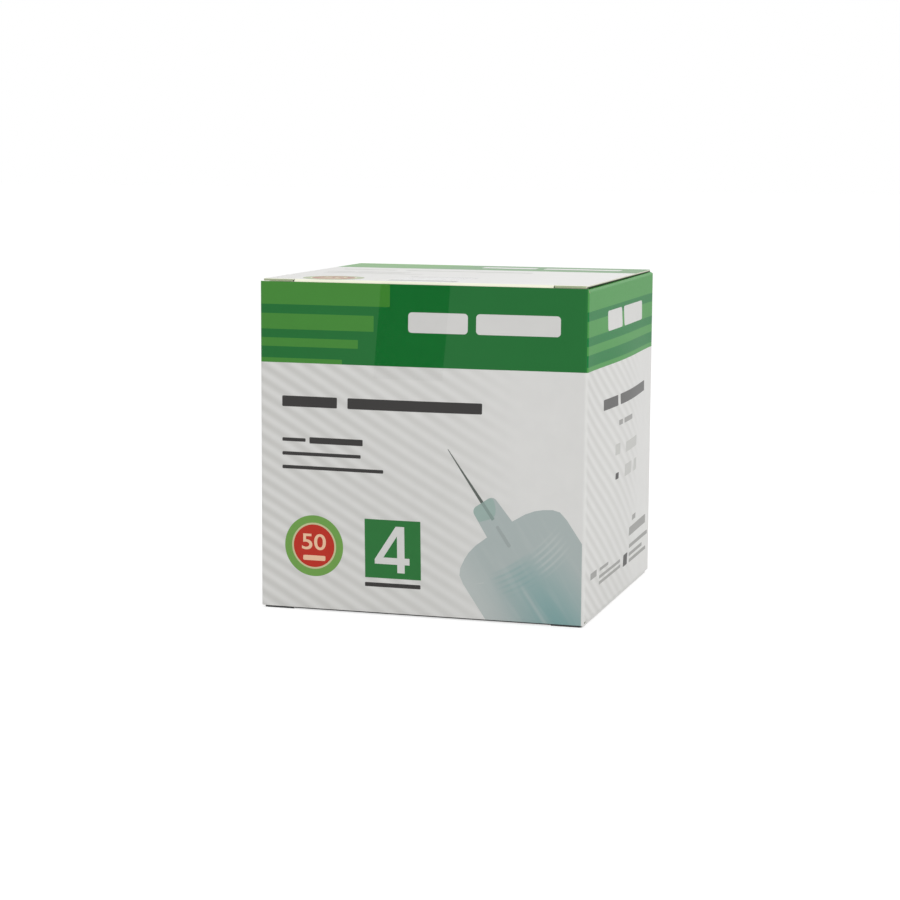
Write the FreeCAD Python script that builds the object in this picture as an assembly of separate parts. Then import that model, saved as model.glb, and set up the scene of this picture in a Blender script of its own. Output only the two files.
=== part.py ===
import FreeCAD, Part

import math
import os

from FreeCAD import Vector

# A closed folding carton of capped pen needles, sealed with one strip of clear film.
# Sizes are in millimetres. X runs to the right across the front panel, Y runs from the
# front to the back, Z runs up, and the origin is under the middle of the bottom lid.

# The carton from crease to crease
carton_width = 72.0
carton_depth = 67.0
carton_height = 71.4

# The board, and the outside rounding of its creases
board = 0.45
upright_crease_radius = 0.8
dust_flap_crease_radius = 0.6
lid_crease_radius = 0.8

# The filled carton bows its panels outwards, and leaves them flat beside their creases
front_and_back_bow = 1.2
side_bow = 1.5
flat_margin = 1.6
bow_spans = 16

# The left panel ends in a cut edge over the glue flap, this far from the back panel's face
seam_setback = 1.2

# Each lid is narrower than the carton, and tucks in behind the front panel's cut edge
lid_side_inset = 0.5
lid_corner_radius = 0.8
front_edge_drop = 0.5
tuck_slot = 0.12
tuck_slot_depth = 4.0

# The lid's front crease is slit at both ends, to catch on the dust flaps
slit_lock_length = 7.6
slit_lock_kerf = 0.25

# The dust flaps fold in under the lids, and each lid stands up from them at the front
dust_flap_reach = 20.0
top_lid_lift = 0.45
bottom_lid_lift = 0.15
corner_relief_width = 1.4
corner_relief_length = 1.2
corner_relief_drop = 0.35

# The clear film, from the front panel over the lid's front crease, and the adhesive under it
film = 0.05
adhesive = 0.02
seal_width = 15.2
seal_centre_x = -1.2
seal_front_leg = 20.0
seal_top_leg = 18.0
seal_tilt_degrees = 4.0

# How far a cutting shape reaches past the face that it cuts, and how close points count as one
overshoot = 1.0
precision = 1e-6

# Faces and edges that the sizes above give
right_x = carton_width / 2
back_y = carton_depth / 2
front_y = -back_y
sleeve_low = board
sleeve_high = carton_height - board
front_inner_y = front_y + board
tuck_y = front_inner_y + tuck_slot
lid_edge_x = right_x - lid_side_inset
slit_end_x = right_x - slit_lock_length
front_edge_z = carton_height - front_edge_drop
crease_end_x = right_x - upright_crease_radius
film_face = adhesive + film


def box_between(low, high):
    """A plain block from one corner to the opposite one."""
    size = high - low
    return Part.makeBox(size.x, size.y, size.z, low)


def quarter_arc(start, centre, end):
    """The quarter circle about centre that runs from start to end."""
    to_middle = (start + end - centre * 2).normalize()
    middle = centre + to_middle * start.distanceToPoint(centre)
    return Part.Arc(start, middle, end).toShape()


def line(start, end):
    return Part.LineSegment(start, end).toShape()


def path(points):
    """Straight edges through the points in turn."""
    return [line(a, b) for a, b in zip(points, points[1:])]


def both_sides(shape):
    """A shape made for the right side, and its mirror image on the left."""
    return [shape, shape.mirror(Vector(0, 0, 0), Vector(1, 0, 0))]


def upside_down(shape):
    """A shape made for the top end, turned over for the bottom end."""
    return shape.mirror(Vector(0, 0, carton_height / 2), Vector(0, 0, 1))


def bowed_panel(start, end, bow):
    """The flat border of one panel and the bowed field inside it, as two faces."""
    along = (end - start).normalize()
    outwards = Vector(along.y, -along.x, 0)
    field_start = start + along * flat_margin + Vector(0, 0, sleeve_low + flat_margin)
    field_width = start.distanceToPoint(end) - 2 * flat_margin
    field_height = sleeve_high - sleeve_low - 2 * flat_margin

    # Only the middle pole of a fourth degree patch is lifted, so that the field leaves the
    # flat border without a kink. The patch follows that pole by this share each way.
    degree = 4
    middle = degree // 2
    middle_share = math.comb(degree, middle) / 2**degree
    poles = []
    for i in range(degree + 1):
        row_start = field_start + along * (field_width * i / degree)
        rises = [Vector(0, 0, field_height * j / degree) for j in range(degree + 1)]
        poles.append([row_start + rise for rise in rises])
    poles[middle][middle] += outwards * (bow / middle_share**2)
    ends = [degree + 1, degree + 1]
    field = Part.BSplineSurface()
    field.buildFromPolesMultsKnots(poles, ends, ends, [0, 1], [0, 1], False, False, degree, degree)
    spans = [i / bow_spans for i in range(1, bow_spans)]
    field.insertUKnots(spans, [1] * len(spans), precision)
    field.insertVKnots(spans, [1] * len(spans), precision)
    field_face = field.toShape()

    corners = [
        Vector(start.x, start.y, sleeve_low),
        Vector(end.x, end.y, sleeve_low),
        Vector(end.x, end.y, sleeve_high),
        Vector(start.x, start.y, sleeve_high),
        Vector(start.x, start.y, sleeve_low),
    ]
    border = Part.makeFace([Part.Wire(path(corners)), field_face.OuterWire], "Part::FaceMakerBullseye")
    return [border, field_face]


def make_sleeve():
    """The four panels with their upright creases and the glued seam, closed at both ends."""
    r = upright_crease_radius
    glue_x = -right_x + board
    seam_y = back_y - seam_setback

    front = (Vector(-right_x + r, front_y, 0), Vector(right_x - r, front_y, 0))
    right = (Vector(right_x, front_y + r, 0), Vector(right_x, back_y - r, 0))
    back = (Vector(right_x - r, back_y, 0), Vector(glue_x + r, back_y, 0))
    glue_flap = (Vector(glue_x, back_y - r, 0), Vector(glue_x, seam_y, 0))
    cut_edge = (glue_flap[1], Vector(-right_x, seam_y, 0))
    left = (cut_edge[1], Vector(-right_x, front_y + r, 0))

    creases = [
        quarter_arc(front[1], Vector(right_x - r, front_y + r, 0), right[0]),
        quarter_arc(right[1], Vector(right_x - r, back_y - r, 0), back[0]),
        quarter_arc(back[1], Vector(glue_x + r, back_y - r, 0), glue_flap[0]),
        quarter_arc(left[1], Vector(-right_x + r, front_y + r, 0), front[0]),
    ]
    plain_edges = creases + [line(*glue_flap), line(*cut_edge)]
    panel_edges = [line(*panel) for panel in (front, right, back, left)]
    outline = Part.Wire(Part.sortEdges(plain_edges + panel_edges)[0])

    rise = Vector(0, 0, sleeve_high - sleeve_low)
    faces = []
    for edge in plain_edges:
        faces.append(edge.translated(Vector(0, 0, sleeve_low)).extrude(rise))
    faces += bowed_panel(*front, front_and_back_bow)
    faces += bowed_panel(*right, side_bow)
    faces += bowed_panel(*back, front_and_back_bow)
    faces += bowed_panel(*left, side_bow)
    for level in (sleeve_low, sleeve_high):
        faces.append(Part.Face(outline).translated(Vector(0, 0, level)))

    sleeve = Part.Solid(Part.Shell(faces))
    if sleeve.Volume < 0:
        sleeve.reverse()
    return sleeve


def dust_flap_cuts(lift):
    """What the sleeve loses at its top end: the rounded dust flap creases, the wedge gaps
    between the flaps and the lid, and the reliefs beside the front panel."""
    hinge_y = back_y - lid_crease_radius
    gap_run = hinge_y - front_inner_y
    flap_z = sleeve_high - lift
    gap_x = right_x - dust_flap_reach
    r = dust_flap_crease_radius

    # The tuck flap stays joined to the lid between the slit locks, in front of the gap
    gap_profile = path([
        Vector(gap_x, hinge_y, sleeve_high),
        Vector(gap_x, front_inner_y, sleeve_high),
        Vector(gap_x, front_inner_y, flap_z),
        Vector(gap_x, hinge_y, sleeve_high),
    ])
    gap = Part.Face(Part.Wire(gap_profile)).extrude(Vector(dust_flap_reach + overshoot, 0, 0))
    tuck_flap = box_between(
        Vector(0, front_inner_y, flap_z - overshoot),
        Vector(slit_end_x, tuck_y + board, sleeve_high + overshoot),
    )
    gap = gap.cut(tuck_flap)

    # The crease falls towards the front as the flap does, and loses its sharp outer corner
    fall = Vector(0, gap_run, lift).normalize()
    run = back_y + overshoot - front_inner_y
    corner_profile = path([
        Vector(right_x - r, front_inner_y, flap_z - r),
        Vector(right_x - r, front_inner_y, sleeve_high + overshoot),
        Vector(right_x + overshoot, front_inner_y, sleeve_high + overshoot),
        Vector(right_x + overshoot, front_inner_y, flap_z - r),
        Vector(right_x - r, front_inner_y, flap_z - r),
    ])
    corner = Part.Face(Part.Wire(corner_profile)).extrude(fall * run)
    axis_start = Vector(right_x - r, front_inner_y, flap_z - r) - fall * overshoot
    round_bar = Part.makeCylinder(r, run + 2 * overshoot, axis_start, fall)

    relief = box_between(
        Vector(right_x - corner_relief_width, front_inner_y, flap_z - corner_relief_drop),
        Vector(right_x + overshoot, front_inner_y + corner_relief_length, sleeve_high + overshoot),
    )
    cuts = []
    for shape in (gap, corner.cut(round_bar), relief):
        cuts += both_sides(shape)
    return cuts


def front_edge_cut():
    """What lowers the front panel's cut edge below the lid."""
    return box_between(
        Vector(-right_x - overshoot, front_y - overshoot, front_edge_z),
        Vector(right_x + overshoot, front_inner_y, carton_height),
    )


def tuck_slot_cut():
    """The thin slot between the front panel and the tuck flap behind it."""
    return box_between(
        Vector(-crease_end_x, front_inner_y, carton_height - tuck_slot_depth),
        Vector(crease_end_x, tuck_y, carton_height),
    )


def make_lid():
    """The flat top lid, with its two rounded front corners."""
    r = lid_corner_radius
    front_right = Vector(lid_edge_x - r, tuck_y, sleeve_high)
    side_right = Vector(lid_edge_x, tuck_y + r, sleeve_high)
    side_left = Vector(-side_right.x, side_right.y, sleeve_high)
    front_left = Vector(-front_right.x, front_right.y, sleeve_high)
    edges = [
        line(front_left, front_right),
        quarter_arc(front_right, Vector(front_right.x, side_right.y, sleeve_high), side_right),
        line(side_right, Vector(lid_edge_x, back_y, sleeve_high)),
        line(Vector(lid_edge_x, back_y, sleeve_high), Vector(-lid_edge_x, back_y, sleeve_high)),
        line(Vector(-lid_edge_x, back_y, sleeve_high), side_left),
        quarter_arc(side_left, Vector(front_left.x, side_left.y, sleeve_high), front_left),
    ]
    return Part.Face(Part.Wire(edges)).extrude(Vector(0, 0, board))


def lid_crease_cuts():
    """What rounds the lid's back crease, and its front crease between the slit locks."""
    r = lid_crease_radius
    low = carton_height - r
    above = carton_height + overshoot

    back_start = Vector(-right_x - overshoot, back_y, low)
    back_end = Vector(-right_x - overshoot, back_y - r, carton_height)
    back_outside = path([
        back_end,
        Vector(back_end.x, back_y - r, above),
        Vector(back_end.x, back_y + overshoot, above),
        Vector(back_end.x, back_y + overshoot, low),
        back_start,
    ])
    back_arc = quarter_arc(back_start, Vector(back_end.x, back_y - r, low), back_end)
    back_wire = Part.Wire([back_arc] + back_outside)
    back_cut = Part.Face(back_wire).extrude(Vector(carton_width + 2 * overshoot, 0, 0))

    front_start = Vector(-slit_end_x, tuck_y, low)
    front_end = Vector(-slit_end_x, tuck_y + r, carton_height)
    front_outside = path([
        front_end,
        Vector(front_end.x, tuck_y + r, above),
        Vector(front_end.x, front_inner_y, above),
        Vector(front_end.x, front_inner_y, low),
        front_start,
    ])
    front_arc = quarter_arc(front_start, Vector(front_end.x, tuck_y + r, low), front_end)
    front_wire = Part.Wire([front_arc] + front_outside)
    front_cut = Part.Face(front_wire).extrude(Vector(2 * slit_end_x, 0, 0))

    kerf = box_between(
        Vector(slit_end_x, front_inner_y, low),
        Vector(slit_end_x + slit_lock_kerf, tuck_y + r, above),
    )
    return [back_cut, front_cut] + both_sides(kerf)


def make_carton(sleeve):
    """The whole closed carton: the sleeve, and a tucked lid at each end."""
    top_cuts = [front_edge_cut(), tuck_slot_cut()]
    end_cuts = dust_flap_cuts(top_lid_lift) + top_cuts
    end_cuts += [upside_down(shape) for shape in dust_flap_cuts(bottom_lid_lift) + top_cuts]
    lid = make_lid()
    carton = sleeve.cut(end_cuts).fuse([lid, upside_down(lid)])
    crease_cuts = lid_crease_cuts()
    carton = carton.cut(crease_cuts + [upside_down(shape) for shape in crease_cuts])
    return carton.removeSplitter()


def leaning_strip(start, along, length, lean, through):
    """The strip that the film covers on one face, as a block through that face on both sides.
    It runs along from start, the seal's middle, and drifts sideways as the seal is tilted."""
    across = Vector(seal_width / 2, 0, 0)
    drift = Vector(lean * length * math.tan(math.radians(seal_tilt_degrees)), 0, 0)
    end = start + along * length + drift
    corners = [start - across, start + across, end + across, end - across, start - across]
    return Part.Face(Part.Wire(path(corners))).translated(through * -1).extrude(through * 2)


def make_seal(sleeve):
    """The film strip: a leg on the bowed front panel, a bridge to the lid, and a leg on it."""
    # The front leg is the layer between two copies of the panel, moved out to the film's faces
    outside = sleeve.translated(Vector(0, -film_face, 0))
    inside = sleeve.translated(Vector(0, -adhesive, 0))
    reach = Vector(0, front_and_back_bow + film_face + overshoot, 0)
    leg_start = Vector(seal_centre_x, front_y, front_edge_z)
    front_strip = leaning_strip(leg_start, Vector(0, 0, -1), seal_front_leg, -1, reach)
    front_leg = front_strip.common(outside).cut(inside)

    # From the front panel's cut edge the film runs straight to the lid's crease
    r = lid_crease_radius
    edge = Vector(0, front_y, front_edge_z)
    centre = Vector(0, tuck_y + r, carton_height - r)
    to_centre = centre - edge
    climb = math.atan2(to_centre.z, to_centre.y) + math.asin(r / to_centre.Length)
    bridge_normal = Vector(0, -math.sin(climb), math.cos(climb))
    bend_normal = Vector(0, -math.sin(climb / 2), math.cos(climb / 2))
    far_y = front_y + seal_top_leg + overshoot

    def run_of_film(offset):
        """The bridge, the bend over the crease and the run along the lid, this far out."""
        bridge_start = edge + bridge_normal * offset
        touch = centre + bridge_normal * (r + offset)
        bend = centre + bend_normal * (r + offset)
        level = Vector(0, centre.y, carton_height + offset)
        far = Vector(0, far_y, carton_height + offset)
        edges = [line(bridge_start, touch), Part.Arc(touch, bend, level).toShape(), line(level, far)]
        return bridge_start, edges, far

    inner_start, inner_edges, inner_far = run_of_film(adhesive)
    outer_start, outer_edges, outer_far = run_of_film(film_face)
    leg_outside = Vector(0, front_y - film_face, front_edge_z)
    leg_inside = Vector(0, front_y - adhesive, front_edge_z)
    ends = [line(inner_far, outer_far)] + path([outer_start, leg_outside, leg_inside, inner_start])
    section = Part.Face(Part.Wire(Part.sortEdges(inner_edges + outer_edges + ends)[0]))
    layer = section.translated(Vector(-right_x, 0, 0)).extrude(Vector(carton_width, 0, 0))

    # The film crosses the crease squarely and leans on the lid behind it
    crossing = box_between(
        Vector(seal_centre_x - seal_width / 2, front_y - film_face, front_edge_z),
        Vector(seal_centre_x + seal_width / 2, centre.y, carton_height + film_face),
    )
    lid_start = Vector(seal_centre_x, centre.y, carton_height)
    lid_length = seal_top_leg - (centre.y - front_y)
    through = Vector(0, 0, film_face + overshoot)
    lid_strip = leaning_strip(lid_start, Vector(0, 1, 0), lid_length, 1, through)
    lid_leg = layer.common(crossing.fuse(lid_strip))
    return front_leg.fuse(lid_leg).removeSplitter()


def main():
    os.makedirs("parts", exist_ok=True)
    sleeve = make_sleeve()
    pieces = {"carton": make_carton(sleeve), "clear_seal": make_seal(sleeve)}
    for name, shape in pieces.items():
        print(name, "valid", shape.isValid(), "solids", len(shape.Solids), "volume", round(shape.Volume, 2))
        shape.exportStep(f"parts/{name}.step")


main()
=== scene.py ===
import math

import bmesh
import bpy
from bpy.props import FloatProperty, FloatVectorProperty, PointerProperty
from bpy.types import Operator, Panel, PropertyGroup
from mathutils import Matrix, Vector


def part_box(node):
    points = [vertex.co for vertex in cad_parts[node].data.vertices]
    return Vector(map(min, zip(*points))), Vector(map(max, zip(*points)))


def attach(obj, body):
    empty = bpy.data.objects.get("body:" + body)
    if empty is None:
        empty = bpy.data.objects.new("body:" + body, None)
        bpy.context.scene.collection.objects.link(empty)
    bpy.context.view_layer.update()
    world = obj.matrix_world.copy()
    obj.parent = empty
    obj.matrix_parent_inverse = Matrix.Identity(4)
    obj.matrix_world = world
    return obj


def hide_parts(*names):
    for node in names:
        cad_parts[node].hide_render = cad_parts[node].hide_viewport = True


bl_info = {
    "name": "Pen Needle Carton",
    "version": (1, 0, 0),
    "blender": (4, 5, 0),
    "location": "3D View > Sidebar > Carton",
    "description": "Folds, prints and seals a carton of pen needles around its packed solids",
    "category": "Object",
}

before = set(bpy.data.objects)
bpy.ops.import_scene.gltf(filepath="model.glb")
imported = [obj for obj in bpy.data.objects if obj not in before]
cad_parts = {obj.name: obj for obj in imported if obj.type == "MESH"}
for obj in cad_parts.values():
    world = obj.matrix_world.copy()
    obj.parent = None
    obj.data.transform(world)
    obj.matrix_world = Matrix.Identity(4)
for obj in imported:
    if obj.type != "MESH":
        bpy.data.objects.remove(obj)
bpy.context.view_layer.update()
carton_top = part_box("carton")[1].z

MM = 0.001
# Points closer together than this lie at the same place
NEAR = 1e-6
QUARTER_TURN = math.radians(90)
CREASE_STEPS = 6
PANEL_STEPS = 48
SMOOTH_ANGLE = math.radians(35)

# For the photograph's view, where the camera stands, which way it looks and how far it is rolled
CAMERA_AT = (0.14007, -0.4893, 0.10098)
CAMERA_LOOK = (-0.27851, 0.95092, -0.13487)
CAMERA_ROLL = math.radians(0.363)

# Each panel of the sleeve: how many panels it lies round the blank from the front one, which
# way it faces and which way its print runs
PANELS = {
    "front": (0, Vector((0, -1, 0)), Vector((1, 0, 0))),
    "right": (1, Vector((1, 0, 0)), Vector((0, 1, 0))),
    "back": (2, Vector((0, 1, 0)), Vector((-1, 0, 0))),
    "left": (-1, Vector((-1, 0, 0)), Vector((0, -1, 0))),
}

# The board's material slots: three of its own, and the band with its lighter bars on each
# kind of surface. The same slots again, one set further on, hold the raw board that its cut
# edges and its inside show.
# CREASE holds a painted highlight on the lid's front crease, and FOOT a painted contact shadow on the bottom
# lid's front crease
WHITE, CREASE, FOOT = range(3)
# The side and lid slots hold lighter copies of the band's inks: painted light on the sides, painted sheen on
# the lid
BAND_AND_BAR = {"front": (3, 4), "side": (5, 6), "lid": (7, 8)}

# The ink stands out so little that it never shows, but it is a layer of its own. One layer of
# ink over another is raised by this much. In millimetres, as is the grid that print is cut on.
INK = 0.011
INK_GAP = 0.005
LAYER = 0.006
PRINT_GRID = 2.0

# The lighter bars in the band: their top and bottom below the panel's top edge, and their end
# from its left edge. These and all other places of print are in millimetres.
BARS = ((-2.0, 5.35, 29.2), (7.3, 10.65, 25.65), (12.5, 14.35, 22.2), (16.8, 17.8, 18.65))
BAND_FOOT = 17.8

# How strong the ground's stripes are at places round the unrolled blank, from the middle of the
# front panel, and where the blank begins and ends
STRIPE_STRENGTH = (
    (-103, 0.8), (-60, 0.5), (-48, 0.0), (-37, 0.0), (-36, 0.9), (6, 0.6), (14, 0.35), (22, 0.0),
    (36, 0.0), (37, 0.8), (74, 0.5), (88, 0.0), (102, 0.0), (103, 0.9), (145, 0.6), (161, 0.0),
)
BLANK_START, BLANK_END = -103, 175

# Print on the front, as left, top, right and bottom edges from the panel's top left corner
FRONT_NAME = ((33.3, 6.3, 46.3, 10.6), (48.1, 6.3, 66.2, 10.6))
FRONT_TITLE = ((5.05, 24.9, 17.6, 27.2), (20.0, 24.9, 49.7, 27.2))
FRONT_LINES = (
    (5.05, 33.95, 10.4, 34.7), (11.3, 33.65, 23.5, 35.0), (5.05, 36.95, 23.05, 37.7),
    (5.05, 39.9, 28.15, 40.65),
)
BADGE_AT = (12.25, 57.2)
LID_BADGE_AT = (13.8, 58.6)
SQUARE = (23.85, 50.6, 36.35, 63.35)
SQUARE_LINE = (23.8, 64.4, 36.25, 65.3)
NEEDLE_TIP = (42.33, 34.61)
PICTURE_EDGE = 71.3

# The right half of the hub in the needle picture, as places along its axis and beside it
HUB = (
    (20.2, 3.2), (20.4, 6.5), (20.9, 8.6), (21.6, 10.2), (22.7, 12.0), (23.9, 13.05), (26.0, 13.4),
    (60.0, 13.5),
)

# The plain 4 in the square badge, as two shapes that meet along its stem, from its top left
FOUR = (
    ((5.1, 0.0), (5.1, 2.1), (2.0, 6.85), (5.1, 6.85), (5.1, 8.3), (0.05, 8.3), (0.05, 7.3), (4.85, 0.0)),
    (
        (5.1, 0.0), (6.75, 0.0), (6.75, 6.85), (7.85, 6.85), (7.85, 8.3), (6.75, 8.3), (6.75, 10.1),
        (5.1, 10.1),
    ),
)
FOUR_AT = (SQUARE[0] + 2.15, SQUARE[1] + 1.35)

# Print on the side panels, the same way
SIDE_NAME = ((18.3, 6.3, 32.3, 10.6), (34.2, 6.3, 54.1, 10.6))
SIDE_TITLE = ((13.7, 24.9, 25.2, 27.2), (27.4, 24.9, 57.2, 27.2))
SIDE_LINES = (
    (25.8, 30.5, 29.0, 31.6), (30.6, 30.5, 39.1, 31.6), (42.2, 56.8, 62.1, 58.8), (45.0, 54.4, 49.1, 55.6),
    (43.4, 60.9, 64.6, 61.8), (43.8, 62.9, 58.5, 63.7), (44.1, 64.4, 62.9, 65.2),
    (5.3, 60.8, 10.9, 62.2), (13.7, 61.0, 21.8, 61.7), (13.4, 62.6, 34.0, 63.3), (13.4, 63.9, 34.6, 64.6),
)
SIDE_FAINT = (
    (22.9, 35.5, 26.9, 37.9), (32.3, 36.0, 45.3, 38.3), (32.0, 41.0, 39.1, 43.7), (42.4, 41.2, 46.0, 43.9),
)
SIDE_DOTS = ((23.6, 41.9, 26.2, 43.3), (37.6, 62.4, 41.8, 65.1))


# The plain inks' materials, by the colour that each takes
INKS = {
    "number": "band_white", "grey": "dark_grey_ink", "soft_grey": "soft_grey_ink",
    "mid_grey": "middle_grey_ink", "pale_grey": "pale_grey_ink", "square": "square_green",
    "ring": "ring_green", "cream": "cream_ink", "figure": "figure_ink", "red": "red_ink",
    "collar": "needle_collar", "cannula": "needle_cannula", "streak": "needle_streak",
}


def length(name, description, default, low=0.0):
    """A length, or with a low below nought a signed place."""
    return FloatProperty(
        name=name, description=description, default=default, min=low, precision=5,
        unit="LENGTH", subtype="DISTANCE",
    )


def turn(name, description, degrees):
    """An angle, given in degrees."""
    return FloatProperty(
        name=name, description=description, default=math.radians(degrees), unit="ROTATION", subtype="ANGLE"
    )


def power(name, description, default):
    """A lamp's power."""
    return FloatProperty(name=name, description=description, default=default, min=0.0, unit="POWER")


def colour(name, description, default):
    """A colour that a user may change."""
    return FloatVectorProperty(
        name=name, description=description, default=default, size=3, min=0.0, max=1.0, subtype="COLOR"
    )


class CartonSizes(PropertyGroup):
    """The folded board, from crease to crease."""

    width: length("Width", "Width of the front panel", 0.072)
    depth: length("Depth", "Depth of the side panels", 0.067)
    height: length("Height", "Height over both lids", carton_top)
    board: length("Board", "Thickness of the carton board", 0.00045)
    upright_crease: length("Upright creases", "Their outside radius", 0.0008)
    dust_flap_crease: length("Dust flap creases", "Their outside radius", 0.0006)
    lid_crease: length("Lid creases", "Their outside radius", 0.0008)
    front_bow: length("Front bow", "How far the front and back stand out", 0.0012)
    side_bow: length("Side bow", "How far the sides stand out", 0.0015)
    flat_margin: length("Flat margin", "Width left flat beside each crease", 0.0016)
    seam_setback: length("Seam setback", "From the back face to the left panel's cut edge", 0.0012)
    glue_flap: length("Glue flap", "Width of the glue flap under the left panel", 0.012)
    lid_inset: length("Lid inset", "How much narrower a lid is, at each side", 0.0005)
    lid_corner: length("Lid corner", "Radius of the lids' front corners", 0.0008)
    lid_shoulder: length("Lid shoulder", "Where a lid narrows towards its crease", 0.0008)
    front_drop: length("Front drop", "From the lid's face to the front's cut edge", 0.0005)
    tuck_slot: length("Tuck slot", "Gap between the front panel and the tuck flap", 0.00012)
    tuck_reach: length("Tuck reach", "How far the tuck flap reaches down", 0.012)
    # The strip of lid this deep behind its front crease takes the crease's painted highlight
    painted_highlight_reach: length("Worn edge", "How far in the lid's coating is highlighted", 0.0021)
    slit_length: length("Slit length", "Length of each slit in the front crease", 0.0076)
    slit_kerf: length("Slit kerf", "Width of the slit's inner end", 0.00025)
    dust_flap_reach: length("Dust flap reach", "How far the dust flaps reach in", 0.02)
    dust_flap_taper: length("Dust flap taper", "How far each end of a dust flap is cut back", 0.004)
    top_lift: length("Top lift", "How far the top dust flaps fall away", 0.0003)
    bottom_lift: length("Bottom lift", "How far the bottom dust flaps fall away", 0.00015)
    relief_width: length("Relief width", "Board left out at the front corners", 0.0012)
    relief_drop: length("Relief drop", "Its depth below the dust flap", 0.0008)


class SealSizes(PropertyGroup):
    """The clear film over the lid's front crease."""

    width: length("Width", "Width of the film", 0.0152)
    centre_x: length("Centre", "Middle of the film on the front edge", -0.0012, low=-0.1)
    front_leg: length("Front leg", "Length of film on the front panel", 0.02)
    top_leg: length("Top leg", "Length of film on the lid, from the front face", 0.018)
    tilt: turn("Tilt", "How far the film leans", 4.0)
    film: length("Film", "Thickness of the film", 0.00005)
    adhesive: length("Adhesive", "Thickness of the adhesive under it", 0.00002)


class PrintColours(PropertyGroup):
    """The inks, and the stripes in the white ground."""

    white: colour("White", "The coated board", (0.845, 0.84, 0.82))
    stripe: colour("Stripe", "The faint stripes on the white ground", (0.69, 0.685, 0.66))
    band: colour("Band", "The dark green band", (0.006, 0.176, 0.028))
    bar: colour("Bar", "The lighter bars in the band", (0.06, 0.283, 0.034))
    # The band and its bars again for the sides and the lid, lighter than on the front: painted light on the
    # sides, painted sheen on the lid
    side_band: colour("Side band", "The band on the sides", (0.002, 0.2226, 0.044))
    side_bar: colour("Side bar", "The lighter bars on the sides", (0.073, 0.353, 0.073))
    lid_band: colour("Lid band", "The band on the lid", (0.07, 0.275, 0.06))
    lid_bar: colour("Lid bar", "The lighter bars on the lid", (0.07, 0.355, 0.005))
    # Crease is a painted highlight, brighter than the white board
    crease: colour("Crease", "The highlighted coating at the lid's front crease", (1.0, 1.0, 0.8))
    # Foot is painted shade: a contact shadow on the bottom lid's front crease, and on cut edges that face the
    # front at the foot
    foot: colour("Foot", "The bottom lid's shaded front crease", (0.1, 0.1, 0.1))
    core: colour("Core", "The raw board in its cut edges", (0.8, 0.79, 0.66))
    # The next two are painted shade: the darker cut edges that face the front, and the lower half of the
    # lid's cut sides, in the gap under the lid
    front_edge_shade: colour("Front core", "The raw board in its cut edges at the front", (0.5, 0.57, 0.38))
    lower_gap_shade: colour("Lower ply", "The lower half of the lid's cut sides", (0.04, 0.06, 0.035))
    grey: colour("Grey", "The dark grey marks", (0.045, 0.042, 0.041))
    soft_grey: colour("Soft grey", "The titles on the sides", (0.11, 0.108, 0.105))
    mid_grey: colour("Middle grey", "The small marks on the sides", (0.38, 0.375, 0.36))
    pale_grey: colour("Pale grey", "The faint marks on the sides", (0.63, 0.63, 0.6))
    ring: colour("Ring", "The round badge's ring", (0.182, 0.405, 0.078))
    cream: colour("Cream", "The round badge's rim", (0.66, 0.62, 0.36))
    figure: colour("Figure", "The round badge's number", (0.97, 0.62, 0.41))
    red: colour("Red", "The round badge's middle", (0.59, 0.026, 0.01))
    # Lid ring and Lid red are paler copies of the badge's ring and middle: painted sheen
    lid_ring: colour("Lid ring", "The ring of the lid's badge", (0.35, 0.42, 0.2))
    lid_red: colour("Lid red", "The middle of the lid's badge", (0.36, 0.08, 0.02))
    number: colour("Number", "The number in the square badge", (0.79, 0.785, 0.765))
    square: colour("Square", "The square badge", (0.021, 0.2, 0.04))
    teal: colour("Teal", "The deepest tone of the needle picture", (0.23, 0.425, 0.42))
    pale_teal: colour("Pale teal", "The palest tone of the needle picture", (0.475, 0.54, 0.53))
    collar: colour("Collar", "The collar in the needle picture", (0.38, 0.505, 0.465))
    cannula: colour("Cannula", "The thin tube in the needle picture", (0.13, 0.15, 0.135))
    streak: colour("Streak", "The highlights in the needle picture", (0.58, 0.625, 0.61))
    stripe_pitch: length("Stripe pitch", "From one stripe to the next", 0.00268)
    stripe_slope: turn("Stripe slope", "How steeply the stripes fall to the right", 30.0)


class StageSettings(PropertyGroup):
    """The camera and the light."""

    lens: FloatProperty(
        name="Lens", description="Focal length", default=91.16, min=1.0, unit="CAMERA", subtype="NONE"
    )
    surroundings: FloatProperty(
        name="Surroundings", description="Strength of the studio's white walls", default=0.72,
        min=0.0, max=2.0, subtype="FACTOR",
    )
    overhead: power("Overhead", "Power of the overhead softbox", 1.2)
    side: power("Side", "Power of the softbox at the right", 1.6)


# Mesh helpers


def same(first, second):
    return abs(first - second) < NEAR


def whole(bm):
    return bm.verts[:] + bm.edges[:] + bm.faces[:]


def verts_of(geom):
    return [part for part in geom if isinstance(part, bmesh.types.BMVert)]


def edges_of(geom):
    return [part for part in geom if isinstance(part, bmesh.types.BMEdge)]


def middle_of(edge):
    return (edge.verts[0].co + edge.verts[1].co) / 2


def free_edges(bm, axis, at):
    """The sheet's free edges at a place along one axis."""
    return [edge for edge in bm.edges if edge.is_boundary and same(middle_of(edge)[axis], at)]


def cut_at(bm, axis, places):
    """Cut the sheet along planes across one axis, so that a curve or a colour can start there."""
    normal = Vector((0.0, 0.0, 0.0))
    normal[axis] = 1.0
    for at in places:
        bmesh.ops.bisect_plane(bm, geom=whole(bm), dist=NEAR, plane_co=normal * at, plane_no=normal)


def cut_for_band(bm, right, axis, top):
    """Cut the sheet along the band's foot and round its bars, which run down from top along
    one axis."""
    for _, foot, end in BARS:
        cut_at(bm, 0, (end * MM - right, right - end * MM))
        cut_at(bm, axis, (top - foot * MM,))
    cut_at(bm, axis, [top - bar_top * MM for bar_top, _, _ in BARS[1:]])


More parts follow.
